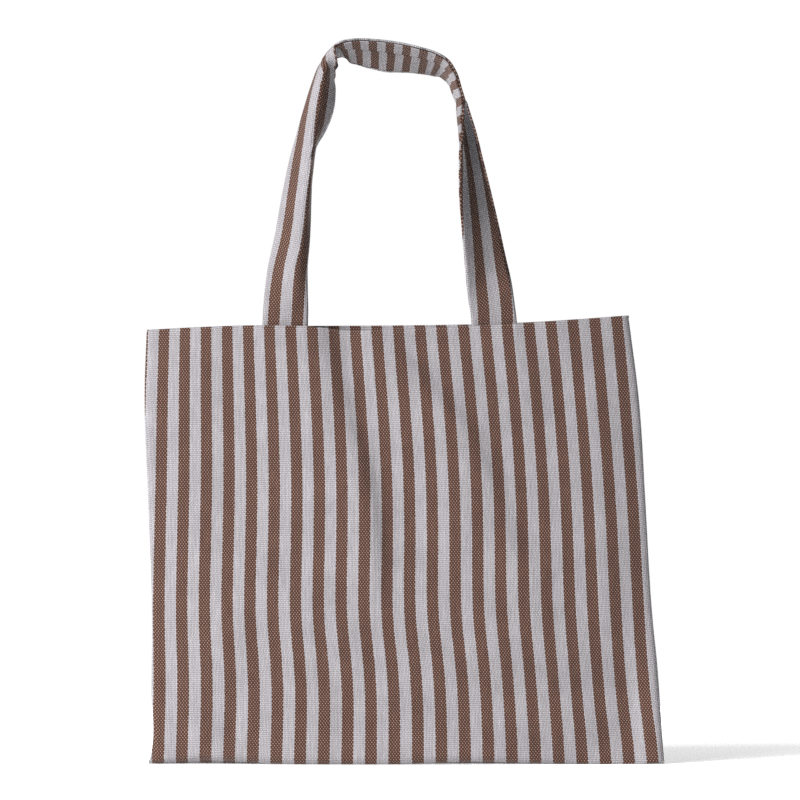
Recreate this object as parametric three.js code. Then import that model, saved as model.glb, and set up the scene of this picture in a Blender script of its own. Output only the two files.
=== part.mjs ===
// A striped canvas tote bag: one long cloth folded at the bottom and sewn at the sides, a turned hem
// round the mouth, and two long handles of two plies each, sewn to the inside of the hem. Each handle
// twists about its own length between its ends and its grip. The cloth is in three pieces here, the
// front, the fold under the bag and the back, so that the mouth can open. Millimetres, +Z up. The front
// faces -Y, and the origin is the middle of the base.
import * as THREE from "three";

// Body
const CLOTH = 1.4; // thickness of the heavy canvas
const GAP = 0.3; // clearance between two pieces that touch
const LEFT_X = -205; // the left side seam, which stands straight up
const RIGHT_BOTTOM_X = 206;
const RIGHT_TOP_X = 178; // the right side seam leans in towards the mouth
const LEFT_HEIGHT = 347;
const RIGHT_HEIGHT = 359;
const EDGE_DEPTH = 3; // half depth at the side seams: one panel and one seam allowance
const BASE_DEPTH = 13; // half depth in the middle of the base
const BELLY_DEPTH = 16; // half depth where the bag is fullest
const MOUTH_DEPTH = 14; // half depth in the middle of the mouth
const BELLY_HEIGHT = 0.35; // as a fraction of the height
const ROUNDNESS = 3; // power of the bow from seam to seam
const BASE_CORNER = 6; // radius between the base and each wall, in the middle
const BASE_CORNER_AT_SEAM = 2;

// Seams and hems
const SEAM_ALLOWANCE = 10;
const SEAM_START = 4.5; // the allowances begin this far above the base
const SEAM_BELOW_MOUTH = 1;
const HEM_DEPTH = 25;
const HEM_CLOTH = 1.2; // pressed flat
const HEM_REACH = 0.92; // of the way from the middle to each seam, clear of the seam allowances
const STITCHING_REACH = 0.9;
const THREAD = 0.6;
const HEM_STITCH_ABOVE_EDGE = 3;

// Handles
const STRAP_WIDTH = 35;
const PLY = 1.2; // one ply of a handle
const STRAP_THICKNESS = 2 * PLY + GAP;
const END_LENGTH = 38; // how far a handle's end reaches down inside the bag
const END_X = [-96, 71.5]; // middle of the left and the right end
const END_Y = 6.8; // middle of the ends' thickness, from the middle of the bag
const GRIP_Y = 19; // where the twisted part of a handle hangs, from the middle of the bag
const TWIST_EASE = 0.5; // how much the twist lingers at each station
// The free strap's stations, from its left end to its right: x, share of the way from END_Y to GRIP_Y,
// z, and the twist in degrees.
const STATIONS = [
  [-96, 0, 352.5, 0],
  [-95, 0.15, 381, 6],
  [-92.4, 0.5, 414, 27],
  [-87.6, 0.85, 448, 47],
  [-82.4, 1, 486, 60],
  [-71, 1, 531, 76],
  [-60, 1, 558, 104],
  [-42, 1, 569, 122],
  [-25, 1, 567, 130],
  [-5, 1, 564.7, 130],
  [14, 1, 561.5, 121],
  [31, 1, 552, 108],
  [43, 1, 533, 90],
  [50, 1, 507, 70],
  [53.6, 0.9, 467, 51],
  [62.8, 0.5, 411, 20],
  [69, 0.15, 379, 5],
  [71.4, 0, 359, 0],
];

// A sewn square with a cross in it, which holds each handle end
const BOX_HALF = 14;
const BOX_LINE = 0.9; // width of its lines
const BOX_HOLE_CORNER = 2.25; // the holes' sharp corners keep this far from the square's
const BOX_DROP = 2; // below the middle of the handle end

// How finely curved sheets are divided
const PANEL_COLUMNS = 22;
const PANEL_ROWS = 12;
const CORNER_ROWS = 4;
const HEM_COLUMNS = 20;
const HEM_ROWS = 2;
const STITCHING_COLUMNS = 40;
const SEAM_ROWS = 12;
const STRAP_COLUMNS = 2;
const STRAP_ROWS = 64;

const brown = [0.36, 0.21, 0.15];
const pale = [0.66, 0.62, 0.6];

const mix = (a, b, t) => a + (b - a) * t;
const smooth = (t) => t * t * (3 - 2 * t);

function canvas(colour) {
  const material = new THREE.MeshStandardMaterial({ roughness: 0.92, metalness: 0 });
  material.color.setRGB(...colour);
  return material;
}

// Where the bag's outline runs, for u from -1 at the left seam to 1 at the right seam
const heightAt = (u) => mix(LEFT_HEIGHT, RIGHT_HEIGHT, (u + 1) / 2);

function xAt(u, z) {
  const right = mix(RIGHT_BOTTOM_X, RIGHT_TOP_X, z / RIGHT_HEIGHT);
  return mix(LEFT_X, right, (u + 1) / 2);
}

// Half depth of the bag's outside: fullest a third of the way up, and thin at the seams
function depthAt(u, z) {
  const v = z / heightAt(u);
  const below = mix(BASE_DEPTH, BELLY_DEPTH, smooth(Math.min(v / BELLY_HEIGHT, 1)));
  const above = smooth(Math.max(v - BELLY_HEIGHT, 0) / (1 - BELLY_HEIGHT));
  const middle = mix(below, MOUTH_DEPTH, above);
  return mix(middle, EDGE_DEPTH, Math.abs(u) ** ROUNDNESS);
}

// A closed sheet of cloth between two faces, each a function of a and b from 0 to 1. The outside of
// the first face is where a, b and its normal make a right-handed set.
function closedSheet(columns, rows, first, second) {
  const perFace = (columns + 1) * (rows + 1);
  const positions = [];
  for (const face of [first, second]) {
    for (let j = 0; j <= rows; j += 1) {
      for (let i = 0; i <= columns; i += 1) {
        positions.push(...face(i / columns, j / rows).toArray());
      }
    }
  }
  const at = (i, j) => j * (columns + 1) + i;
  const triangles = [];
  const quad = (p, q, r, s) => triangles.push(p, q, r, p, r, s);
  for (let j = 0; j < rows; j += 1) {
    for (let i = 0; i < columns; i += 1) {
      const [p, q, r, s] = [at(i, j), at(i + 1, j), at(i + 1, j + 1), at(i, j + 1)];
      quad(p, q, r, s);
      quad(p + perFace, s + perFace, r + perFace, q + perFace);
    }
  }
  const wall = (p, q) => quad(q, p, p + perFace, q + perFace);
  for (let i = 0; i < columns; i += 1) {
    wall(at(i, 0), at(i + 1, 0));
    wall(at(i + 1, rows), at(i, rows));
  }
  for (let j = 0; j < rows; j += 1) {
    wall(at(columns, j), at(columns, j + 1));
    wall(at(0, j + 1), at(0, j));
  }
  const geometry = new THREE.BufferGeometry();
  geometry.setAttribute("position", new THREE.Float32BufferAttribute(positions, 3));
  geometry.setIndex(triangles);
  geometry.computeVertexNormals();
  return geometry;
}

function piece(name, geometry, colour) {
  const mesh = new THREE.Mesh(geometry, canvas(colour));
  mesh.name = name;
  return mesh;
}

// Radius between the base and the walls
const cornerAt = (u) => mix(BASE_CORNER, BASE_CORNER_AT_SEAM, Math.abs(u) ** ROUNDNESS);

// A layer of the front (side -1) or the back (side 1), from `inset` to `inset + thickness` inside the
// bag's outer surface, between the u and z limits
function layer(side, inset, thickness, reach, zFrom, zTo, columns, rows) {
  const face = (depth) => (a, b) => {
    const u = mix(-reach, reach, a);
    const z = mix(zFrom(u), zTo(u), b);
    return new THREE.Vector3(xAt(u, z), side * (depthAt(u, z) - depth), z);
  };
  const outer = face(inset);
  const inner = face(inset + thickness);
  return side < 0 ? closedSheet(columns, rows, outer, inner) : closedSheet(columns, rows, inner, outer);
}

function panel(name, side) {
  const bottom = (u) => cornerAt(u) + GAP;
  const sheet = layer(side, 0, CLOTH, 1, bottom, heightAt, PANEL_COLUMNS, PANEL_ROWS);
  return piece(name, sheet, brown);
}

// The fold under the bag: a flat strip that turns up into the front and the back
function baseFold() {
  const rows = 2 * CORNER_ROWS + 1;
  const face = (inward) => (a, b) => {
    const u = mix(-1, 1, a);
    const radius = cornerAt(u);
    const depth = depthAt(u, radius);
    const row = Math.round(b * rows);
    const side = row <= CORNER_ROWS ? -1 : 1;
    const step = side < 0 ? CORNER_ROWS - row : row - CORNER_ROWS - 1;
    const angle = (Math.PI / 2) * (step / CORNER_ROWS);
    const bend = radius - inward;
    const y = side * (depth - radius + bend * Math.sin(angle));
    return new THREE.Vector3(xAt(u, 0), y, radius - bend * Math.cos(angle));
  };
  return piece("base_fold", closedSheet(PANEL_COLUMNS, rows, face(CLOTH), face(0)), brown);
}

function hem(name, side) {
  const lower = (u) => heightAt(u) - HEM_DEPTH;
  const inset = CLOTH + GAP;
  const sheet = layer(side, inset, HEM_CLOTH, HEM_REACH, lower, heightAt, HEM_COLUMNS, HEM_ROWS);
  return piece(name, sheet, brown);
}

// The row of stitches that holds the hem's lower edge, on the inside
function hemStitching(name, side) {
  const lower = (u) => heightAt(u) - HEM_DEPTH + HEM_STITCH_ABOVE_EDGE;
  const upper = (u) => lower(u) + THREAD;
  const inset = CLOTH + GAP + HEM_CLOTH + GAP;
  const row = layer(side, inset, THREAD, STITCHING_REACH, lower, upper, STITCHING_COLUMNS, 1);
  return piece(name, row, pale);
}

// The two allowances of a side seam, turned inside and lying between the panels
function sideSeam(name, side) {
  const half = EDGE_DEPTH - CLOTH - GAP;
  const face = (y) => (a, b) => {
    const z = mix(SEAM_START, heightAt(side) - SEAM_BELOW_MOUTH, b);
    const edge = xAt(side, z) - side * GAP;
    const x = side > 0 ? mix(edge - SEAM_ALLOWANCE, edge, a) : mix(edge, edge + SEAM_ALLOWANCE, a);
    return new THREE.Vector3(x, y, z);
  };
  return piece(name, closedSheet(1, SEAM_ROWS, face(-half), face(half)), brown);
}

// The frame that sewn ends are set in: along the mouth, with its origin on the mouth's edge
function alongMouth(x) {
  const group = new THREE.Group();
  const u = (2 * (x - LEFT_X)) / (RIGHT_TOP_X - LEFT_X) - 1;
  group.position.set(x, 0, heightAt(u));
  group.rotation.y = -Math.atan2(RIGHT_HEIGHT - LEFT_HEIGHT, RIGHT_TOP_X - LEFT_X);
  return group;
}

// A handle's end, sewn flat against the inside of the hem
function sewnEnd(name, side) {
  const geometry = new THREE.BoxGeometry(STRAP_WIDTH, STRAP_THICKNESS, END_LENGTH);
  const mesh = piece(name, geometry, brown);
  mesh.position.set(0, side * END_Y, -END_LENGTH / 2);
  return mesh;
}

// The box stitch is a square with four triangular holes, which leave the lines of its cross
function boxStitch(name, side) {
  const square = new THREE.Shape();
  square.moveTo(-BOX_HALF, -BOX_HALF);
  square.lineTo(BOX_HALF, -BOX_HALF);
  square.lineTo(BOX_HALF, BOX_HALF);
  square.lineTo(-BOX_HALF, BOX_HALF);
  square.closePath();
  const holeSide = BOX_HALF - BOX_LINE;
  const holeCorner = BOX_HALF - BOX_HOLE_CORNER;
  for (let quarter = 0; quarter < 4; quarter += 1) {
    const turn = (quarter * Math.PI) / 2;
    const corner = (x, y) => [
      x * Math.cos(turn) - y * Math.sin(turn),
      x * Math.sin(turn) + y * Math.cos(turn),
    ];
    const hole = new THREE.Path();
    hole.moveTo(...corner(holeSide, holeCorner));
    hole.lineTo(...corner(holeSide, -holeCorner));
    hole.lineTo(...corner(BOX_LINE, 0));
    hole.closePath();
    square.holes.push(hole);
  }
  const geometry = new THREE.ExtrudeGeometry(square, { depth: THREAD, bevelEnabled: false });
  geometry.translate(0, 0, -THREAD / 2);
  geometry.rotateX(Math.PI / 2);
  const mesh = piece(name, geometry, pale);
  const y = END_Y - STRAP_THICKNESS / 2 - GAP - THREAD / 2;
  mesh.position.set(0, side * y, -END_LENGTH / 2 - BOX_DROP);
  return mesh;
}

function sewnEnds(word, side) {
  return ["left", "right"].map((hand, index) => {
    const group = alongMouth(END_X[index]);
    group.add(sewnEnd(`${word}_handle_${hand}_end`, side), boxStitch(`${word}_${hand}_box_stitch`, side));
    return group;
  });
}

// One ply of a handle's free strap. The strap is a ribbon about a curve through its stations, and
// `inward` measures from its middle surface, positive towards the lining.
function strapPly(name, side, outer, inner, colour) {
  const points = STATIONS.map(
    ([x, share, z]) => new THREE.Vector3(x, side * mix(END_Y, GRIP_Y, share), z),
  );
  const line = new THREE.CatmullRomCurve3(points, false, "centripetal");
  const last = STATIONS.length - 1;
  const twistAt = (t) => {
    const index = Math.min(Math.floor(t * last), last - 1);
    const within = t * last - index;
    const eased = mix(within, smooth(within), TWIST_EASE);
    return THREE.MathUtils.degToRad(mix(STATIONS[index][3], STATIONS[index + 1][3], eased));
  };
  const face = (inward) => (a, b) => {
    const along = line.getTangent(b);
    const flat = new THREE.Vector3(0, 1, 0).cross(along).normalize();
    const forward = flat.clone().cross(along).multiplyScalar(-side);
    const twist = twistAt(b);
    const across = flat.multiplyScalar(Math.cos(twist)).addScaledVector(forward, Math.sin(twist));
    const out = across.clone().cross(along).multiplyScalar(-side);
    const place = line.getPoint(b).addScaledVector(across, (a - 0.5) * STRAP_WIDTH);
    return place.addScaledVector(out, -inward);
  };
  const near = face(outer);
  const far = face(inner);
  const sheet = side < 0 ? [near, far] : [far, near];
  return piece(name, closedSheet(STRAP_COLUMNS, STRAP_ROWS, ...sheet), colour);
}

function handle(word, side) {
  const facing = [-GAP / 2 - PLY, -GAP / 2];
  const lining = [GAP / 2, GAP / 2 + PLY];
  return [
    strapPly(`${word}_handle_facing`, side, ...facing, brown),
    strapPly(`${word}_handle_lining`, side, ...lining, pale),
  ];
}

const bag = new THREE.Group();
bag.add(panel("front_panel", -1), baseFold(), panel("back_panel", 1));
bag.add(hem("front_hem", -1), hem("back_hem", 1));
bag.add(hemStitching("front_hem_stitching", -1), hemStitching("back_hem_stitching", 1));
bag.add(sideSeam("left_side_seam", -1), sideSeam("right_side_seam", 1));
bag.add(...sewnEnds("front", -1), ...sewnEnds("back", 1));
bag.add(...handle("front", -1), ...handle("back", 1));

export default bag;
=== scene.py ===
"""The looks of a striped canvas tote bag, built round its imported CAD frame.

Cloth, straps and stitches are in millimetres until a mesh is made. The frame is the CAD's own: +X right,
-Y front, +Z up.
"""

import math

import bpy
import numpy as np
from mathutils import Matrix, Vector


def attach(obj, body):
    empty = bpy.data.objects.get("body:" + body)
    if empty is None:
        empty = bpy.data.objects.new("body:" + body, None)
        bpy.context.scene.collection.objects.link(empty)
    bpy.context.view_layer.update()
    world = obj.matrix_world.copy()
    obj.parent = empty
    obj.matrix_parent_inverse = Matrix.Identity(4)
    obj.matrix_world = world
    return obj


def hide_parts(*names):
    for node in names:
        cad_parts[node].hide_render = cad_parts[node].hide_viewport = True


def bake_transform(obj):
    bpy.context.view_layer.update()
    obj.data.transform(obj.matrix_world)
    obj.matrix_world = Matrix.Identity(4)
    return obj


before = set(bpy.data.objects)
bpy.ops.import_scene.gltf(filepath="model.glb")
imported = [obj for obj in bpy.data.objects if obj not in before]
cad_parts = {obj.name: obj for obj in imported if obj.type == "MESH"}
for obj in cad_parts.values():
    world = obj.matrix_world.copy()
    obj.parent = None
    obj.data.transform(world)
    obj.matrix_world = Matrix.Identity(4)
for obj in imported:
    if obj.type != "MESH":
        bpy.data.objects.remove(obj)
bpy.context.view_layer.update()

MM = 0.001

# Cloth
CLOTH = 1.4
PLY = 1.15  # one ply of a handle
STRIPE_YARNS = 16  # warp yarns in one brown and one pale stripe
PICK = 1.55  # from one weft yarn to the next
LEAN = 0.13  # how much one of the weave's two diagonals outweighs the other
CRISP_ANGLE = 50  # a sheet's raw edges stay crisp above this many degrees

# The body's outline, as (z, x) stations of its side edges and (x, z) stations of its mouth and base
LEFT_EDGE = [(0, -205), (9, -202.5), (60, -202), (130, -201.8), (211, -204.6), (300, -207.6), (350, -205.8)]
RIGHT_EDGE = [(0, 207), (45, 203), (80, 200.6), (131, 196.2), (211, 191.6), (290, 186.6), (360, 177.8)]
FRONT_MOUTH = [(-206, 347.4), (-163, 349.6), (-112, 350.9), (-74, 349.8), (-46, 346.8), (-8, 348.2),
               (25, 349.2), (54, 350.5), (86, 352.2), (146, 356.4), (178, 359)]
BACK_MOUTH = [(-206, 347.6), (-112, 350.6), (-60, 350.8), (0, 351.2), (54, 352), (86, 353), (146, 356.6),
              (178, 359)]
BASE_LIFT = [(-206, 1.6), (-185, 2.4), (-160, 3.8), (-135, 2.4), (-110, 0.8), (-60, 0), (-10, 0),
             (50, 2.2), (100, 1.2), (150, 0), (185, 0.2), (208, 1.8)]
BACK_LIFT = 0.15  # the back's base follows the front's only this much
BACK_BULGE = 1.3  # the back's right edge stands out this far past the front's, low down

# Soft creases that hang from the mouth, as (z, x) stations. Each one's shape is its drop, its widths and
# reaches at its foot and at the mouth, and the heights between which it fades in.
MAIN_CREASE = [(90, -15), (151, -17), (191, -21), (231, -28), (267, -39), (295, -48), (335, -60), (352, -64)]
SIDE_CREASE = [(90, 118), (163, 98), (191, 85), (231, 70), (271, 52), (291, 33), (311, 15), (335, -6),
               (352, -16)]
BACK_CREASE = [(90, 52), (200, 44), (280, 24), (352, 2)]
MAIN_SHAPE = (6.4, (6, 8.5), (45, 85), (95, 200))
SIDE_SHAPE = (5, (8, 9), (60, 60), (120, 220))
BACK_SHAPE = (2.4, (8, 8), (70, 70), (110, 220))
# Small wrinkles everywhere, as (height, size across, size up, seed)
WRINKLES = [(1.3, 95, 120, 0), (0.6, 41, 70, 4), (0.22, 17, 26, 9)]
# Straight pulls below the handles' ends, as (lean, x at the mouth)
PULLS = [(0.2, -108), (-0.22, 84)]
PULL_HEIGHT, PULL_REACH = 0.7, 12
MOUTH_DENT_X, MOUTH_DENT_REACH, MOUTH_DENT_DEPTH = -46, 9, 1.6
# Dents in the lower corners, as (x, z, reach across, reach up, depth)
DENTS = [(-190, 62, 9, 30, 1.6), (-181, 22, 8, 16, 2), (-139, 26, 9, 14, 1.8), (168, 18, 22, 14, 1.5),
         (80, 62, 36, 24, 1.2)]
HOLLOW = 4.5  # depth of the broad hollow at the lower right

# Half depth of the bag, from its middle to the middle of its cloth
BASE_DEPTH, BELLY_DEPTH, MOUTH_DEPTH = 12.3, 15.3, 13.3
BELLY_HEIGHT = 125
EDGE_DEPTH = 3.2
ROUNDNESS = 3
EDGE_ROUND = 4.0  # the cloth turns in to the side seam over this width
BASE_CORNER = 6.0

# Hem: the mouth's edge turns in, and its raw edge turns under
HEM_DEPTH = 25
HEM_INSET = 3.0  # from the wall's middle to the hem's middle
HEM_TUCK = 6

# Stripes of the body cloth
STRIPE = 17.7  # one brown and one pale stripe
STRIPES_ACROSS = 21.5
FIRST_BROWN = [(0, -202.3), (60, -201.4), (130, -200.9), (211, -200.2), (291, -198.8), (350, -196.4)]
LAST_BROWN = [(0, 203), (19, 201.1), (51, 196.9), (91, 193.2), (131, 190.7), (211, 186.2), (291, 179.9),
              (343, 175), (360, 173.2)]
STRIPE_CROWDING = 0.035  # the stripes lie closer together on the left of the mouth
# The stripes bow to the right: how far, as (z, mm) stations, and what share of it, as (x, share) stations
BOW = [(0, 0.6), (15, 1.3), (31, 2.1), (47, 2.9), (63, 3.0), (79, 2.5), (95, 1.4), (111, 0.2),
       (127, -0.3), (143, 0), (159, 0.5), (175, 1.2), (191, 1.8), (207, 2.4), (223, 2.9), (255, 3.3),
       (287, 2.9), (303, 2.4), (319, 1.7), (335, 0.9), (352, 0.2)]
BOW_SHARE = [(-206, 0.2), (-176, 0.42), (-136, 0.7), (-96, 0.9), (-56, 1), (4, 0.96), (44, 0.92), (84, 0.7),
             (124, 0.44), (164, 0.06), (208, 0)]
SPLIT_STRIPE = 11  # the front cloth's two halves meet at this stripe's edge

# How finely the body's cloth is divided: its rows up, its columns across half a side, that half's rough
# width, and the extra columns beside a side seam, from its edge
CORNER_ROWS, WALL_ROWS, LIP_ROWS, HEM_ROWS, TUCK_ROWS, UNDER_ROWS = 6, 136, 8, 9, 5, 6
HALF_COLUMNS, HALF_WIDTH = 75, 200
EDGE_COLUMNS = [0, 0.25, 0.7, 1.3, 2.1, 3.1, 4.4]

# Handles
STRAP_WIDTH = 35
STRAP_HALF = 1.4  # half the thickness of a strap's two plies, with room for its stitches
GRIP_Y = 19
FACING_STRIPE = 18.7
# The facing's stripes wander across a strap: from a brown stripe's left edge to the strap's middle, as
# (length along the strap, mm) stations
FACING_GRAIN = [(0, 15), (40, 13.8), (62, 13.2), (88, 12), (108, 10.8), (149, 11.4), (180, 13.3),
                (204, 16.2), (222, 19), (240, 21), (251, 21.6), (290, 17.5), (330, 12.9), (400, 8.3),
                (500, 1.75), (600, -4.8)]
LINING_STRIPE = 13.9
LINING_YARNS = 12
OVERLAP_AT = 5.6  # where the lining's folded edge lies, from the middle of the strap
OVERLAP_STEP = 0.85
STRAP_STEP = 2.0
FOLD_REACH = 4.0  # a strap's lengthwise fold is this wide on each side of its line
FACING_OFFSET, LINING_OFFSET = 0.62, -0.66  # from the strap's middle to the middle of each ply
EDGE_TURN, EDGE_DROP = 1.3, 1.1  # the facing's edges turn back over this width and by this much
LINING_INSET = 1.6
OVERLAP_SHIFT = 1.6  # the stripes jump by this much at the lining's folded edge
LINING_SLANT = 0.04
# A strap's stations, from its left sewn end to its right one: the x of its outer outline, the share of
# the way out to GRIP_Y, z, how far its outer and inner parts turn forward, in degrees, and where across
# it they meet
STRAP = [
    (-113.5, 0, 312, 0, 0, 0),
    (-113.5, 0, 334, 0, 0, 0),
    (-113.2, 0, 354, 0, 0, 0),
    (-111.6, 0.15, 379, 16, -20, 8),
    (-108.4, 0.35, 401, 28, -40, 8),
    (-104.4, 0.5, 419, 34, -54, 8),
    (-97, 0.9, 459, 42, -84, 7.3),
    (-90.6, 1, 488, 48, -98, 5.4),
    (-87.4, 1, 499, 52, -88, 4),
    (-84, 1, 511, 57, -62, 2.3),
    (-79, 1, 528, 63, -46, -0.3),
    (-73.4, 1, 545, 70, -56, -2.3),
    (-69, 1, 556, 78, -66, -2),
    (-63.5, 1, 564.5, 96, -30, 7),
    (-58, 1, 571, 108, 70, 8),
    (-51.2, 1, 575.7, 116, 108, 0),
    (-40, 1, 578, 121, 121, 0),
    (-25.6, 1, 577.8, 127, 127, 0),
    (-12.8, 1, 576.6, 130, 130, 0),
    (0, 1, 574.4, 127, 127, 0),
    (12.8, 1, 571.2, 122, 123, 0),
    (25.6, 1, 567, 118, 120, 0),
    (34, 1, 561.5, 113, 116, 0),
    (40.5, 1, 551.5, 100, 112, 0),
    (44.8, 1, 538, 80, 114, 0),
    (49.4, 1, 523, 61, 108, 0),
    (54.6, 1, 507, 49, 98, 0),
    (59.6, 1, 487, 45, 79, 0),
    (65.8, 0.85, 462, 40, 57, 0),
    (74, 0.6, 427, 28, 41, 0),
    (79.2, 0.35, 403, 19, 30, 0),
    (85, 0.15, 379, 4, 8, 0),
    (88.8, 0, 354, 0, 0, 0),
    (89, 0, 335, 0, 0, 0),
    (89, 0, 316, 0, 0, 0),
]
BACK_LEAN = 1.8  # the back handle's right leg leans out this much further
END_X = {"left": -96, "right": 71.5}
END_PLACE = 335  # where a strap's sewn end takes its depth from the wall in front of it

# Seams and stitches
THREAD = 0.6
STITCH_PITCH = 3.4
STITCH_LENGTH = 2.6
HEM_STITCH_RISE = 3
HEM_ROW_MARGIN = 12  # from the mouth's corners to the first and last hem stitch
BOX_HALF = 14
BOX_LOW, BOX_HIGH = 3, 27  # the box stitch, from the strap's lower end
SEAM_START = 3.2  # from the side edge to where the two allowances meet
SEAM_ALLOWANCE = 10
SEAM_PLY = 1.2
SEAM_LOW, SEAM_HIGH = 8, 322
OVERCAST_PITCH = 3.6
SEAM_ROWS = 90

# Studio
FILL = 0.1
KEY = 4.2
NEAR, NEAR_PLACE, NEAR_SIZE = 22, (-0.9, -1.3, 0.75), 0.8
BACK_FILL, BACK_FILL_PLACE, BACK_FILL_SIZE = 30, (0.9, 1.6, 0.9), 1.0
LIGHTS_AIM = (0, 0, 0.3)
KEY_DIRECTION = (0.68, 0.55, -0.55)
KEY_SPREAD = 20
FLOOR = 0.95
FLOOR_GLOW = 0.27
CAMERA_DISTANCE, FRAME_HEIGHT = 5.0, 0.640
CAMERA_X, CAMERA_Z = -0.004, 0.2912

# Colours, in linear light
BROWN = (0.058, 0.020, 0.013)
PALE = (0.35, 0.332, 0.353)
WEFT = (0.21, 0.138, 0.108)  # where it shows between brown yarns
PALE_WEFT = (0.283, 0.27, 0.278)
THREAD_COLOUR = (0.14, 0.08, 0.065)


# ---------------------------------------------------------------- curves and fields


def smooth_line(stations, at):
    """A smooth curve through (place, value) stations, read at `at`."""
    places, values = np.array(stations, float).T
    slopes = np.gradient(values, places)
    at = np.clip(at, places[0], places[-1])
    i = np.clip(np.searchsorted(places, at) - 1, 0, len(places) - 2)
    width = places[i + 1] - places[i]
    t = (at - places[i]) / width
    rise = values[i + 1] - values[i]
    bend_in = slopes[i] * width - rise
    bend_out = rise - slopes[i + 1] * width
    return values[i] + t * rise + t * (1 - t) * ((1 - t) * bend_in + t * bend_out)


def smooth_step(low, high, at):
    t = np.clip((at - low) / (high - low), 0, 1)
    return t * t * (3 - 2 * t)


def bump(at, middle, reach):
    return np.exp(-(((at - middle) / reach) ** 2))


def lattice(i, j, seed):
    """A fixed value from -1 to 1 for each whole-number place."""
    mixed = np.sin(i * 127.1 + j * 311.7 + seed * 74.7) * 43758.5453
    return 2 * (mixed - np.floor(mixed)) - 1


def soft_noise(x, y, seed):
    """Smooth noise from -1 to 1, with features one unit apart."""
    i, j = np.floor(x), np.floor(y)
    s, t = smooth_step(0, 1, x - i), smooth_step(0, 1, y - j)
    low = lattice(i, j, seed) * (1 - s) + lattice(i + 1, j, seed) * s
    high = lattice(i, j + 1, seed) * (1 - s) + lattice(i + 1, j + 1, seed) * s
    return low * (1 - t) + high * t


# ---------------------------------------------------------------- the body's shape


def crease(x, z, line, drop, widths, reaches, fade):
    """A soft crease: the cloth rises slowly towards it from the left and drops on its right. It widens
    from its foot to the mouth, and `widths` and `reaches` give its first and last sizes."""
    past = x - smooth_line(line, z)
    climb = smooth_step(180, 350, z)
    width, reach = (low + (high - low) * climb for low, high in (widths, reaches))
    step = 0.5 - 0.5 * np.tanh(past / width)
    return drop * step * bump(np.minimum(past, 0), 0, reach) * smooth_step(*fade, z)


def wrinkles(x, z, side):
    """How far the cloth stands out of its plain lens shape."""
    small = sum(high * soft_noise(x / wide, z / tall, side + seed) for high, wide, tall, seed in WRINKLES)
    if side > 0:
        return small + crease(x, z, BACK_CREASE, *BACK_SHAPE)
    dent = MOUTH_DENT_DEPTH * bump(x, MOUTH_DENT_X, MOUTH_DENT_REACH) * smooth_step(310, 346, z)
    folds = crease(x, z, MAIN_CREASE, *MAIN_SHAPE)
    folds += crease(x, z, SIDE_CREASE, *SIDE_SHAPE) * (1 - 0.5 * smooth_step(320, 352, z))
    pulls = sum(PULL_HEIGHT * bump(x + lean * (350 - z), top, PULL_REACH) for lean, top in PULLS)
    return small + folds - dent + pulls * smooth_step(220, 340, z)


def hollows(x, z):
    """How far the front's lower corners are pressed in: small dents, and a broad hollow at the right."""
    dents = sum(deep * bump(x, at, wide) * bump(z, up, tall) for at, up, wide, tall, deep in DENTS)
    return dents + HOLLOW * smooth_step(30, 150, x) * (1 - smooth_step(50, 150, z))


def seam_puckers(z, from_edge):
    """The short ripples that a sewn side seam draws into the cloth beside it."""
    return 0.35 * np.sin(z / 4.1 + 1.5 * np.sin(z / 23)) * bump(from_edge, 7, 6)


def half_depth(x, z, side):
    """From the bag's middle to the middle of its cloth."""
    left, right = smooth_line(LEFT_EDGE, z), smooth_line(RIGHT_EDGE, z)
    u = np.clip(2 * (x - left) / (right - left) - 1, -1, 1)
    from_edge = np.maximum(np.minimum(x - left, right - x), 0)
    lower = BASE_DEPTH + (BELLY_DEPTH - BASE_DEPTH) * smooth_step(0, BELLY_HEIGHT, z)
    middle = lower + (MOUTH_DEPTH - BELLY_DEPTH) * smooth_step(BELLY_HEIGHT, 350, z)
    lens = EDGE_DEPTH + (middle - EDGE_DEPTH) * (1 - np.abs(u) ** ROUNDNESS)
    lens += (wrinkles(x, z, side) * smooth_step(0, 30, z) + seam_puckers(z, from_edge)) * smooth_step(
        2, 40, from_edge
    )
    if side < 0:
        lens -= hollows(x, z) * smooth_step(0, 24, from_edge)
    turn = np.sqrt(1 - (1 - np.clip(from_edge / EDGE_ROUND, 0, 1)) ** 2)
    touching = CLOTH / 2 + 0.03
    return touching + (lens - touching) * turn


def cloth_across(x, z):
    """Where a point lies across the cloth, from the left edge of the first brown stripe."""
    first, last = smooth_line(FIRST_BROWN, z), smooth_line(LAST_BROWN, z)
    x = x - smooth_line(BOW, z) * smooth_line(BOW_SHARE, x)
    t = (x - first) / (last - first)
    crowding = STRIPE_CROWDING * smooth_step(150, 350, z)
    t = t + crowding * t * (1 - t)
    return t * STRIPES_ACROSS * STRIPE


def x_of_stripe(stripe, z):
    """The x of a brown stripe's left edge, the reverse of cloth_across."""
    x = np.zeros_like(z, float)
    for _ in range(8):
        x = x + stripe * STRIPE - cloth_across(x, z)
    return x


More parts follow.
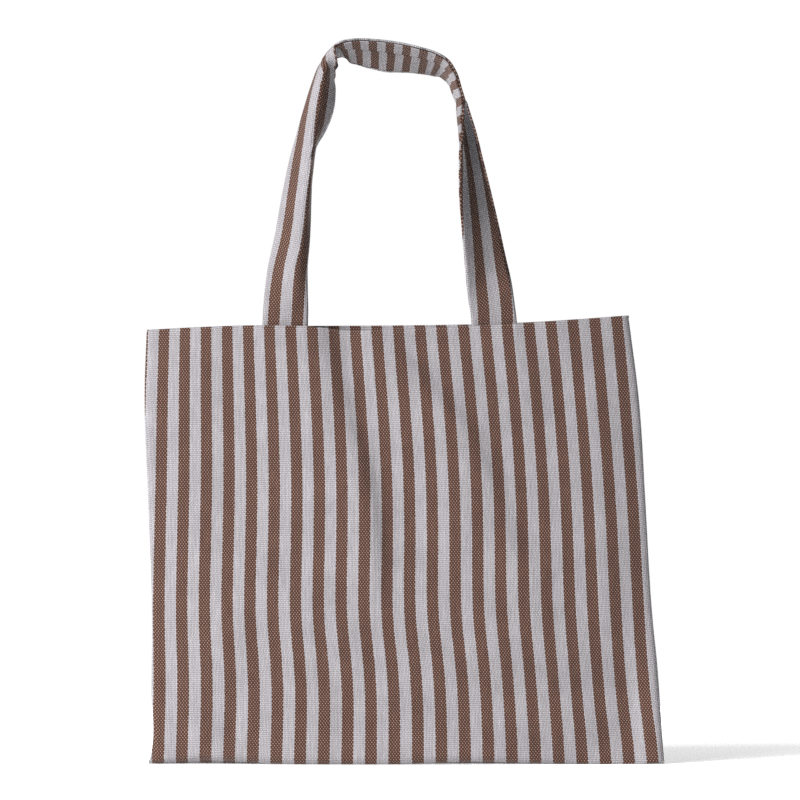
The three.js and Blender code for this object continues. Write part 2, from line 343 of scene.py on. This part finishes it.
def wall_section(x_at, side):
    """Points up one side of the bag for each column: out from under the base, up the wall, over the
    mouth's edge and down inside as the hem, whose raw edge turns under.

    x_at(z) gives the columns' x at each height. Returns a rows x columns x 3 grid.
    """
    foot_x = x_at(np.array([0.0]))[0]
    mouth = FRONT_MOUTH if side < 0 else BACK_MOUTH
    lift = smooth_line(BASE_LIFT, foot_x) * (1 if side < 0 else BACK_LIFT) + CLOTH / 2
    foot_depth = half_depth(foot_x, np.full_like(foot_x, BASE_CORNER), side)
    corner = np.minimum(BASE_CORNER, 0.6 * foot_depth)
    rows = []

    def add(x, y, z):
        rows.append(np.stack([x, side * y, z], -1))

    for angle in np.linspace(0, math.pi / 2, CORNER_ROWS)[:-1]:
        add(foot_x, foot_depth - corner + corner * math.sin(angle), lift + corner * (1 - math.cos(angle)))
    turn = HEM_INSET / 2
    top_x = x_at(np.array([350.0]))[0]
    top = smooth_line(mouth, top_x) - CLOTH / 2 - turn
    for climb in np.linspace(0, 1, WALL_ROWS):
        z = (lift + corner) * (1 - climb) + top * climb
        x = column_x(x_at, z)
        depth = half_depth(x, z, side)
        settle = smooth_step(0, 0.06, climb)
        add(x, foot_depth * (1 - settle) + depth * settle, z)
    depth = half_depth(top_x, top, side)
    thin = np.minimum(1, np.maximum(depth - CLOTH / 2, 0.05) / (HEM_INSET + CLOTH / 2))
    for angle in np.linspace(0, math.pi, LIP_ROWS)[1:-1]:
        add(top_x, depth - turn * thin * (1 - math.cos(angle)), top + turn * math.sin(angle))
    for drop in np.linspace(0, HEM_DEPTH, HEM_ROWS):
        z = top - drop
        x = column_x(x_at, z)
        add(x, half_depth(x, z, side) - HEM_INSET * thin, z)
    tuck = turn / 2
    for angle in np.linspace(0, math.pi, TUCK_ROWS)[1:]:
        z = top - HEM_DEPTH - tuck * math.sin(angle)
        x = column_x(x_at, z)
        add(x, half_depth(x, z, side) - (HEM_INSET - tuck * (1 - math.cos(angle))) * thin, z)
    z = top - HEM_DEPTH + HEM_TUCK
    x = column_x(x_at, z)
    add(x, half_depth(x, z, side) - (HEM_INSET - 2 * tuck) * thin, z)
    return np.array(rows)


def column_x(x_at, z):
    """The x of each column at that column's own height."""
    return np.diagonal(x_at(z)).copy()


def along_rows(places):
    """How far each point lies along its column from the first row."""
    steps = np.linalg.norm(np.diff(places, axis=0), axis=2)
    return np.concatenate([np.zeros((1, places.shape[1])), np.cumsum(steps, axis=0)])


# ---------------------------------------------------------------- meshes


def link(name, mesh):
    piece = bpy.data.objects.new(name, mesh)
    bpy.context.scene.collection.objects.link(piece)
    return piece


def sheet_mesh(name, places, cloth, outside_first):
    """A sheet from a rows x columns grid of points, with its cloth coordinates as UVs."""
    rows, columns = places.shape[:2]
    index = np.arange(rows * columns).reshape(rows, columns)
    corners = [index[:-1, :-1], index[:-1, 1:], index[1:, 1:], index[1:, :-1]]
    if not outside_first:
        corners.reverse()
    faces = np.stack(corners, -1).reshape(-1, 4)
    mesh = bpy.data.meshes.new(name)
    mesh.from_pydata((places.reshape(-1, 3) * MM).tolist(), [], faces.tolist())
    layer = mesh.uv_layers.new(name="cloth")
    layer.data.foreach_set("uv", (cloth.reshape(-1, 2)[faces.ravel()] * MM).ravel())
    mesh.shade_smooth()
    mesh.validate()
    return link(name, mesh)


def thicken(piece, thickness):
    """Gives a sheet its thickness in its own mesh, with crisp raw edges."""
    solid = piece.modifiers.new("thickness", "SOLIDIFY")
    solid.thickness = thickness * MM
    solid.offset = 0
    solid.use_even_offset = False
    shaped = piece.evaluated_get(bpy.context.evaluated_depsgraph_get())
    piece.data = bpy.data.meshes.new_from_object(shaped)
    piece.modifiers.clear()
    piece.data.set_sharp_from_angle(angle=math.radians(CRISP_ANGLE))


def finish_piece(piece, material, replaced=()):
    piece.data.materials.append(material)
    if replaced:
        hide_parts(*replaced)


# ---------------------------------------------------------------- materials


class Shader:
    """A node material built by short calls."""

    def __init__(self, name):
        self.material = bpy.data.materials.new(name)
        self.material.use_nodes = True
        self.tree = self.material.node_tree
        self.skin = self.tree.nodes["Principled BSDF"]

    def node(self, kind, inputs, **settings):
        made = self.tree.nodes.new(kind)
        for key, value in settings.items():
            setattr(made, key, value)
        for key, value in inputs.items():
            self.feed(made.inputs[key], value)
        return made

    def feed(self, socket, value):
        if isinstance(value, bpy.types.NodeSocket):
            self.tree.links.new(value, socket)
        else:
            socket.default_value = value

    def math(self, operation, *values):
        return self.node("ShaderNodeMath", dict(enumerate(values)), operation=operation).outputs[0]

    def ramp(self, value, low, high, to_low=0.0, to_high=1.0):
        inputs = {"Value": value, "From Min": low, "From Max": high, "To Min": to_low, "To Max": to_high}
        return self.node("ShaderNodeMapRange", inputs, interpolation_type="SMOOTHSTEP").outputs[0]

    def mix(self, share, a, b):
        made = self.node("ShaderNodeMix", {"Factor": share}, data_type="RGBA")
        self.feed(made.inputs[6], a)
        self.feed(made.inputs[7], b)
        return made.outputs[2]

    def noise(self, vector, scale, detail=2.0):
        inputs = {"Vector": vector, "Scale": scale, "Detail": detail}
        return self.node("ShaderNodeTexNoise", inputs).outputs["Fac"]

    def scaled(self, colour, by):
        made = self.node("ShaderNodeVectorMath", {0: colour}, operation="SCALE")
        self.feed(made.inputs["Scale"], by)
        return made.outputs[0]


def opaque(colour):
    return (*colour, 1.0)


def striped_canvas(name, stripe, offset, yarns):
    """Coarse plain weave with brown and pale warp stripes, `stripe` wide and `yarns` yarns together. The
    warp runs along the UV map's second axis, and the weft shows as small light dots between its yarns."""
    s = Shader(name)
    uv = s.node("ShaderNodeUVMap", {}, uv_map="cloth").outputs[0]
    split = s.node("ShaderNodeSeparateXYZ", {0: uv})
    across = s.math("MULTIPLY", s.math("ADD", split.outputs[0], offset * MM), yarns / (stripe * MM))
    along = s.math("DIVIDE", split.outputs[1], PICK * MM)

    wander = s.noise(uv, 260.0, 1.0)
    across = s.math("ADD", across, s.ramp(wander, 0.2, 0.8, -0.15, 0.15))
    wave_across = s.math("SINE", s.math("MULTIPLY", across, math.pi))
    wave_along = s.math("SINE", s.math("MULTIPLY", along, math.pi))
    lean = s.math("COSINE", s.math("MULTIPLY", s.math("ADD", across, along), math.pi))
    crossing = s.math("SUBTRACT", s.math("MULTIPLY", wave_across, wave_along), s.math("MULTIPLY", lean, LEAN))
    weft_shows = s.ramp(crossing, -0.25, -0.6)

    yarn = s.math("FLOOR", across)
    is_brown = s.math("LESS_THAN", s.math("FLOORED_MODULO", yarn, yarns), yarns / 2)

    yarn_noise = s.node("ShaderNodeTexWhiteNoise", {"W": yarn}, noise_dimensions="1D").outputs["Value"]
    stretched = s.node("ShaderNodeCombineXYZ", {0: across, 1: s.math("MULTIPLY", along, 0.12)}).outputs[0]
    slub = s.noise(stretched, 0.9, 3.0)
    mottle = s.noise(uv, 34.0, 3.0)
    shade = s.math("ADD", s.ramp(yarn_noise, 0, 1, 0.96, 1.04), s.ramp(slub, 0.25, 0.75, -0.1, 0.1))
    shade = s.math("MULTIPLY", shade, s.ramp(mottle, 0.3, 0.7, 0.94, 1.06))
    # painted shade: the colour darkens in the hollows between yarn crossings and lightens a little on their
    # crowns, following the same relief that bumps the weave
    painted_valley_shade = s.ramp(s.math("ABSOLUTE", crossing), 0.0, 0.5, 0.28, 1.05)

    warp = s.mix(is_brown, opaque(PALE), opaque(BROWN))
    colour = s.mix(weft_shows, warp, s.mix(is_brown, opaque(PALE_WEFT), opaque(WEFT)))
    colour = s.scaled(colour, s.math("MULTIPLY", shade, painted_valley_shade))
    s.feed(s.skin.inputs["Base Color"], colour)

    fibre = s.noise(uv, 5200.0, 2.0)
    relief = s.math("POWER", s.math("ABSOLUTE", crossing), 0.6)
    height = s.math("ADD", relief, s.math("MULTIPLY", fibre, 0.35))
    height = s.math("ADD", height, s.math("MULTIPLY", slub, 0.5))
    inputs = {"Height": height, "Strength": 0.75, "Distance": 0.00028}
    s.feed(s.skin.inputs["Normal"], s.node("ShaderNodeBump", inputs).outputs[0])
    s.feed(s.skin.inputs["Roughness"], s.ramp(fibre, 0.3, 0.7, 0.86, 0.97))
    s.skin.inputs["Specular IOR Level"].default_value = 0.22
    s.skin.inputs["Sheen Weight"].default_value = 0.12
    s.skin.inputs["Sheen Roughness"].default_value = 0.5
    return s.material


def spun_thread():
    """Matt sewing thread with a tight twist."""
    s = Shader("spun_thread")
    place = s.node("ShaderNodeTexCoord", {}).outputs["Object"]
    inputs = {"Vector": place, "Scale": 900.0, "Distortion": 2.0, "Detail": 2.0}
    twist = s.node("ShaderNodeTexWave", inputs, bands_direction="DIAGONAL").outputs["Fac"]
    # painted shade and highlight: the colour darkens in the twist's grooves and lightens on its ridges, by
    # the same bands that bump the thread
    colour = s.scaled(THREAD_COLOUR, s.ramp(twist, 0, 1, 0.75, 1.25))
    s.feed(s.skin.inputs["Base Color"], colour)
    bump_inputs = {"Height": twist, "Strength": 0.5, "Distance": 0.0001}
    s.feed(s.skin.inputs["Normal"], s.node("ShaderNodeBump", bump_inputs).outputs[0])
    s.skin.inputs["Roughness"].default_value = 0.7
    return s.material


# ---------------------------------------------------------------- the body's cloth


def fine_columns():
    """Shares from 0 at a side edge to 1, closer together where the cloth turns in at the seam."""
    turn = np.array(EDGE_COLUMNS) / HALF_WIDTH
    return np.concatenate([turn, np.linspace(turn[-1], 1, HALF_COLUMNS)[1:]])


def front_half(hand, material):
    """The left or right half of the front, as its own mesh."""
    shares = fine_columns()

    def x_at(z):
        z = np.atleast_1d(z)
        middle = x_of_stripe(SPLIT_STRIPE, z)
        if hand == "left":
            edge = smooth_line(LEFT_EDGE, z)
            return edge[:, None] + shares[None, :] * (middle - edge)[:, None]
        edge = smooth_line(RIGHT_EDGE, z)
        return middle[:, None] + (1 - shares[::-1])[None, :] * (edge - middle)[:, None]

    places = wall_section(x_at, -1)
    piece = body_sheet(f"front_cloth_{hand}", places, -1)
    finish_piece(piece, material, ["front_panel", "front_hem"])
    follow_cloth(piece, -1)


def body_sheet(name, places, side):
    across = cloth_across(places[..., 0], places[..., 2])
    along = along_rows(places)
    if side > 0:
        along = -along
    piece = sheet_mesh(name, places, np.stack([across, along], -1), outside_first=side < 0)
    thicken(piece, CLOTH)
    return piece


def back_cloth(material):
    """The back, with the fold under the bag."""
    left_half = fine_columns() / 2
    shares = np.concatenate([left_half, 1 - left_half[-2::-1]])

    def x_at(z):
        z = np.atleast_1d(z)
        left, right = smooth_line(LEFT_EDGE, z), smooth_line(RIGHT_EDGE, z)
        right = right + BACK_BULGE * bump(z, 60, 60)
        return left[:, None] + shares[None, :] * (right - left)[:, None]

    wall = wall_section(x_at, 1)
    front_foot = wall_section(x_at, -1)[0]
    under = [front_foot * (1 - t) + wall[0] * t for t in np.linspace(0, 1, UNDER_ROWS)[:-1]]
    places = np.concatenate([np.array(under), wall])
    piece = body_sheet("back_cloth", places, 1)
    finish_piece(piece, material, ["back_panel", "base_fold", "back_hem"])
    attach(piece, "back")


# ---------------------------------------------------------------- handles


def end_depth(x, side):
    """How far from the bag's middle the middle of a sewn strap end lies, against the hem."""
    near = np.where(x < 0, END_X["left"], END_X["right"])
    return half_depth(near, np.full_like(near, END_PLACE, float), side) - HEM_INSET - CLOTH / 2 - STRAP_HALF


def strap_frames(side):
    """Points along a strap's outer outline, with its flat and forward directions, how its two parts turn,
    and how far along the strap each point lies."""
    stations = np.array(STRAP, float)
    chords = np.hypot(np.diff(stations[:, 0]), np.diff(stations[:, 2]))
    chords = np.concatenate([[0], np.cumsum(chords)])
    fine = np.linspace(0, chords[-1], 1600)
    x, share, z, *turns = [smooth_line(np.stack([chords, c], -1), fine) for c in stations.T]
    if side > 0:
        x = x + BACK_LEAN * smooth_step(20, 50, x) * smooth_step(355, 400, z)
    sewn = end_depth(x, side)
    y = side * (sewn + (GRIP_Y - sewn) * np.clip(share, 0, 1))
    line = np.stack([x, y, z], -1)
    lengths = np.concatenate([[0], np.cumsum(np.linalg.norm(np.diff(line, axis=0), axis=1))])
    steps = np.linspace(0, lengths[-1], int(lengths[-1] / STRAP_STEP))
    even = [np.interp(steps, lengths, values) for values in (x, y, z, *turns)]
    line = np.stack(even[:3], -1)
    tangent = np.gradient(line, axis=0)
    tangent /= np.linalg.norm(tangent, axis=1, keepdims=True)
    flat = np.cross([0, 1, 0], tangent)
    flat /= np.linalg.norm(flat, axis=1, keepdims=True)
    forward = np.cross(flat, tangent) * -side
    return line, flat, forward, even[3:], steps


def strap_surface(frames, across, offset):
    """A ply's grid of points: `across` from the strap's middle, and `offset` towards the facing side.
    The strap's section bends about one lengthwise fold."""
    line, flat, forward, (outer, inner, fold_at), _ = frames
    fine = np.linspace(-STRAP_WIDTH / 2, STRAP_WIDTH / 2, 141)
    share = smooth_step(-FOLD_REACH, FOLD_REACH, fine[None, :] - fold_at[:, None])
    turn = np.radians(outer[:, None] * (1 - share) + inner[:, None] * share)
    step = fine[1] - fine[0]
    sideways = np.cumsum(np.cos(turn), axis=1) * step
    ahead = np.cumsum(np.sin(turn), axis=1) * step
    sideways -= sideways.min(axis=1, keepdims=True)
    ahead -= ahead.mean(axis=1, keepdims=True)
    pick = np.interp(across, fine, np.arange(len(fine)))
    low = np.clip(pick.astype(int), 0, len(fine) - 2)
    part = pick - low
    u, v, angle = [f[:, low] * (1 - part) + f[:, low + 1] * part for f in (sideways, ahead, turn)]
    u = u - offset[None, :] * np.sin(angle)
    v = v + offset[None, :] * np.cos(angle)
    return line[:, None] + flat[:, None] * u[..., None] + forward[:, None] * v[..., None]


def strap_ply(name, side, frames, across, offset, cloth):
    places = strap_surface(frames, across, offset)
    piece = sheet_mesh(name, places, cloth, outside_first=side < 0)
    thicken(piece, PLY)
    return piece


def handle(word, side, facing_material, lining_material):
    """A handle's two plies, each in one length from its left sewn end to its right one."""
    body = f"{word}_handle"
    frames = strap_frames(side)
    steps = frames[-1]

    half = STRAP_WIDTH / 2
    edge = np.array([0, 0.25, 0.7, 1.3])
    across = np.concatenate([-half + edge, np.linspace(-half + 2.4, half - 2.4, 15), half - edge[::-1]])
    turned = np.clip((np.abs(across) - (half - EDGE_TURN)) / EDGE_TURN, 0, 1)
    offset = FACING_OFFSET - EDGE_DROP * (1 - np.sqrt(1 - turned**2))
    grain = across[None, :] + smooth_line(FACING_GRAIN, steps)[:, None]
    pattern = np.stack(np.broadcast_arrays(grain, steps[:, None]), -1)
    facing = strap_ply(f"{body}_facing_cloth", side, frames, across, offset, pattern)
    ends = [f"{body}_{hand}_end" for hand in ("left", "right")]
    finish_piece(facing, facing_material, [f"{body}_facing", *ends])

    inner = half - LINING_INSET
    near_fold = OVERLAP_AT + np.array([-0.9, -0.45, 0.0, 0.45, 0.9])
    across = np.sort(np.concatenate([np.linspace(-inner, inner, 14), near_fold]))
    fold = smooth_step(OVERLAP_AT - 0.5, OVERLAP_AT + 0.5, across)
    offset = LINING_OFFSET - OVERLAP_STEP * fold
    shifted = steps[:, None] + OVERLAP_SHIFT * fold[None, :] + LINING_SLANT * across[None, :]
    pattern = np.stack(np.broadcast_arrays(shifted, across[None, :]), -1)
    lining = strap_ply(f"{body}_lining_cloth", side, frames, across, offset, pattern)
    finish_piece(lining, lining_material, [f"{body}_lining"])

    for piece, width in ((facing, 0.037), (lining, 0.033)):
        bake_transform(piece)


# ---------------------------------------------------------------- seams and stitches


def tube_mesh(name, paths, radius, sides=6):
    """Round threads along lists of points, in one mesh."""
    points, faces = [], []
    turn = np.linspace(0, 2 * math.pi, sides, endpoint=False)
    for path in paths:
        path = np.asarray(path, float)
        tangent = np.gradient(path, axis=0)
        tangent /= np.linalg.norm(tangent, axis=1, keepdims=True)
        across = np.cross(tangent, [0.31, 0.17, 0.93])
        across /= np.linalg.norm(across, axis=1, keepdims=True)
        up = np.cross(across, tangent)
        ring = across[:, None] * np.cos(turn)[None, :, None] + up[:, None] * np.sin(turn)[None, :, None]
        first = len(points)
        points.extend((path[:, None] + radius * ring).reshape(-1, 3) * MM)
        for r in range(len(path) - 1):
            for s in range(sides):
                low, high = first + r * sides, first + (r + 1) * sides
                faces.append((low + s, low + (s + 1) % sides, high + (s + 1) % sides, high + s))
        faces.append([first + s for s in range(sides)][::-1])
        faces.append([first + (len(path) - 1) * sides + s for s in range(sides)])
    mesh = bpy.data.meshes.new(name)
    mesh.from_pydata([tuple(p) for p in points], [], faces)
    mesh.validate()
    mesh.shade_smooth()
    return link(name, mesh)


def stitch(start, end, lift):
    """One stitch: it rises out of the cloth, lies along it and goes back in."""
    shares = np.array([0, 0.12, 0.35, 0.65, 0.88, 1])
    heights = np.array([-0.5, 0.1, 0.3, 0.3, 0.1, -0.5])
    start, end, lift = (np.array(v, float) for v in (start, end, lift))
    return start + (end - start) * shares[:, None] + lift * heights[:, None]


def hem_stitches(side, material):
    """The row of stitches that holds the hem, on its inner face."""
    word = "front" if side < 0 else "back"
    mouth = FRONT_MOUTH if side < 0 else BACK_MOUTH
    first, last = LEFT_EDGE[-1][1] + HEM_ROW_MARGIN, RIGHT_EDGE[-1][1] - HEM_ROW_MARGIN
    starts = np.arange(first, last, STITCH_PITCH)

    def inner_face(x):
        z = smooth_line(mouth, x) - HEM_DEPTH + HEM_STITCH_RISE
        return x, side * (half_depth(x, z, side) - HEM_INSET - CLOTH / 2), z

    rows = {"left": [], "right": []}
    for x in starts:
        hand = "left" if side > 0 or x < x_of_stripe(SPLIT_STRIPE, 330) else "right"
        at = np.array([x, x + STITCH_LENGTH])
        places = np.stack(inner_face(at), -1)
        rows[hand].append(stitch(places[0], places[1], (0, -side, 0)))
    for hand, paths in rows.items():
        if not paths:
            continue
        name = f"{word}_hem_stitches" if side > 0 else f"{word}_hem_stitches_{hand}"
        piece = tube_mesh(name, paths, THREAD / 2)
        finish_piece(piece, material, [f"{word}_hem_stitching"])
        follow_cloth(piece, side)


def follow_cloth(piece, side):
    """The back's pieces ride on the back. The front's keep their place in the bag's frame."""
    if side > 0:
        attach(piece, "back")
        return
    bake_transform(piece)


def box_stitches(word, side, hand, material):
    """A square of stitches with a cross in it, through a strap's sewn end."""
    middle_x = END_X[hand]
    strap_end = STRAP[0][2] if hand == "left" else STRAP[-1][2]
    low, high = strap_end + BOX_LOW, strap_end + BOX_HIGH
    depth = end_depth(np.array([float(middle_x)]), side)[0] - STRAP_HALF + 0.1
    left, right = middle_x - BOX_HALF, middle_x + BOX_HALF
    lines = [((left, low), (right, low)), ((right, low), (right, high)), ((right, high), (left, high)),
             ((left, high), (left, low)), ((left, low), (right, high)), ((left, high), (right, low))]
    paths = []
    for (x0, z0), (x1, z1) in lines:
        length = math.hypot(x1 - x0, z1 - z0)
        count = round(length / STITCH_PITCH)
        for k in range(count):
            a, b = k / count, (k + STITCH_LENGTH / STITCH_PITCH) / count
            start = (x0 + (x1 - x0) * a, side * depth, z0 + (z1 - z0) * a)
            end = (x0 + (x1 - x0) * b, side * depth, z0 + (z1 - z0) * b)
            paths.append(stitch(start, end, (0, -side, 0)))
    piece = tube_mesh(f"{word}_{hand}_box_stitches", paths, THREAD / 2)
    finish_piece(piece, material, [f"{word}_{hand}_box_stitch"])
    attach(piece, word)


def seam_wave(z):
    """How far the seam allowances wave forward and back."""
    return 0.35 * np.sin(z / 13) + 0.25 * np.sin(z / 5.7)


def side_seam(hand, cloth_material, thread_material):
    """The two seam allowances inside a side seam, sewn together and overcast along their raw edges."""
    edge, toward = (LEFT_EDGE, 1) if hand == "left" else (RIGHT_EDGE, -1)
    z = np.linspace(SEAM_LOW, SEAM_HIGH, SEAM_ROWS)
    line = smooth_line(edge, z)
    outward = np.array([1, 0.85, 0.6, 0.35, 0.12, 0, 0.12, 0.35, 0.6, 0.85, 1])
    sides = np.array([-1, -1, -1, -1, -0.8, 0, 0.8, 1, 1, 1, 1])
    x = line[:, None] + toward * (SEAM_START + (SEAM_ALLOWANCE - SEAM_START) * outward[None, :])
    y = sides[None, :] * 0.72 + seam_wave(z)[:, None] * outward[None, :]
    grid = np.stack(np.broadcast_arrays(x, y, z[:, None]), -1)
    cloth = np.stack(np.broadcast_arrays(sides[None, :] * 2 + x, z[:, None]), -1)
    piece = sheet_mesh(f"{hand}_seam_allowances", grid, cloth, outside_first=toward > 0)
    thicken(piece, SEAM_PLY)
    finish_piece(piece, cloth_material, [f"{hand}_side_seam"])
    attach(piece, "back")

    loops = np.arange(SEAM_LOW + 2, SEAM_HIGH - 2, 0.45)
    phase = loops * 2 * math.pi / OVERCAST_PITCH
    raw = smooth_line(edge, loops) + toward * SEAM_ALLOWANCE
    x = raw + toward * (1.9 * np.cos(phase) - 1.2)
    y = seam_wave(loops) + 1.75 * np.sin(phase)
    path = np.stack([x, y, loops], -1)
    overcast = tube_mesh(f"{hand}_seam_overcasting", [path], THREAD / 2, 5)
    finish_piece(overcast, thread_material)
    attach(overcast, "back")


# ---------------------------------------------------------------- the set


def floor():
    mesh = bpy.data.meshes.new("floor")
    corners = [(-FLOOR, -FLOOR, 0), (FLOOR, -FLOOR, 0), (FLOOR, FLOOR, 0), (-FLOOR, FLOOR, 0)]
    mesh.from_pydata(corners, [], [(0, 1, 2, 3)])
    piece = link("floor", mesh)
    s = Shader("pale_floor")
    s.skin.inputs["Base Color"].default_value = (0.9, 0.9, 0.9, 1)
    s.skin.inputs["Roughness"].default_value = 0.9
    s.skin.inputs["Specular IOR Level"].default_value = 0.1
    s.skin.inputs["Emission Color"].default_value = (1, 1, 1, 1)
    s.skin.inputs["Emission Strength"].default_value = FLOOR_GLOW
    mesh.materials.append(s.material)


def studio():
    """A white surround that lights the bag weakly, a broad soft sun from its upper left, and two lamps: one
    near its front and one behind it."""
    world = bpy.data.worlds.new("studio")
    bpy.context.scene.world = world
    world.use_nodes = True
    tree = world.node_tree
    fill = tree.nodes["Background"]
    fill.inputs["Color"].default_value = (0.97, 0.98, 1, 1)
    fill.inputs["Strength"].default_value = FILL
    white = tree.nodes.new("ShaderNodeBackground")
    white.inputs["Color"].default_value = (1, 1, 1, 1)
    seen = tree.nodes.new("ShaderNodeLightPath")
    mix = tree.nodes.new("ShaderNodeMixShader")
    tree.links.new(seen.outputs["Is Camera Ray"], mix.inputs[0])
    tree.links.new(fill.outputs[0], mix.inputs[1])
    tree.links.new(white.outputs[0], mix.inputs[2])
    tree.links.new(mix.outputs[0], tree.nodes["World Output"].inputs[0])
    data = bpy.data.lights.new("key", "SUN")
    data.energy = KEY
    data.angle = math.radians(KEY_SPREAD)
    lamp = bpy.data.objects.new("key", data)
    bpy.context.scene.collection.objects.link(lamp)
    lamp.rotation_mode = "QUATERNION"
    lamp.rotation_quaternion = look(KEY_DIRECTION)
    area_light("near", NEAR_PLACE, LIGHTS_AIM, NEAR_SIZE, NEAR)
    area_light("back_fill", BACK_FILL_PLACE, LIGHTS_AIM, BACK_FILL_SIZE, BACK_FILL)
    bpy.context.scene.view_settings.view_transform = "Standard"
    bpy.context.scene.cycles.use_denoising = False  # it wipes out the weave


def area_light(name, place, aim, size, power):
    data = bpy.data.lights.new(name, "AREA")
    data.size = size
    data.energy = power
    lamp = bpy.data.objects.new(name, data)
    bpy.context.scene.collection.objects.link(lamp)
    lamp.location = place
    lamp.rotation_mode = "QUATERNION"
    lamp.rotation_quaternion = look(np.array(aim) - np.array(place))


def look(direction):
    return Vector(direction).to_track_quat("-Z", "Y")


def camera():
    data = bpy.data.cameras.new("camera")
    data.sensor_width = 36
    data.lens = data.sensor_width * CAMERA_DISTANCE / FRAME_HEIGHT
    data.clip_end = 50
    eye = bpy.data.objects.new("camera", data)
    bpy.context.scene.collection.objects.link(eye)
    eye.location = (CAMERA_X, -CAMERA_DISTANCE, CAMERA_Z)
    eye.rotation_mode = "QUATERNION"
    eye.rotation_quaternion = look((0, 1, 0))
    bpy.context.scene.camera = eye


# ---------------------------------------------------------------- the build

camera()
studio()
floor()
body_canvas = striped_canvas("body_canvas", STRIPE, 0.0, STRIPE_YARNS)
facing_canvas = striped_canvas("facing_canvas", FACING_STRIPE, 0.0, STRIPE_YARNS)
lining_canvas = striped_canvas("lining_canvas", LINING_STRIPE, 4.2, LINING_YARNS)
thread = spun_thread()
for hand in ("left", "right"):
    front_half(hand, body_canvas)
back_cloth(body_canvas)
for word, side in (("front", -1), ("back", 1)):
    handle(word, side, facing_canvas, lining_canvas)
    hem_stitches(side, thread)
    for hand in ("left", "right"):
        box_stitches(word, side, hand, thread)
for hand in ("left", "right"):
    side_seam(hand, body_canvas, thread)
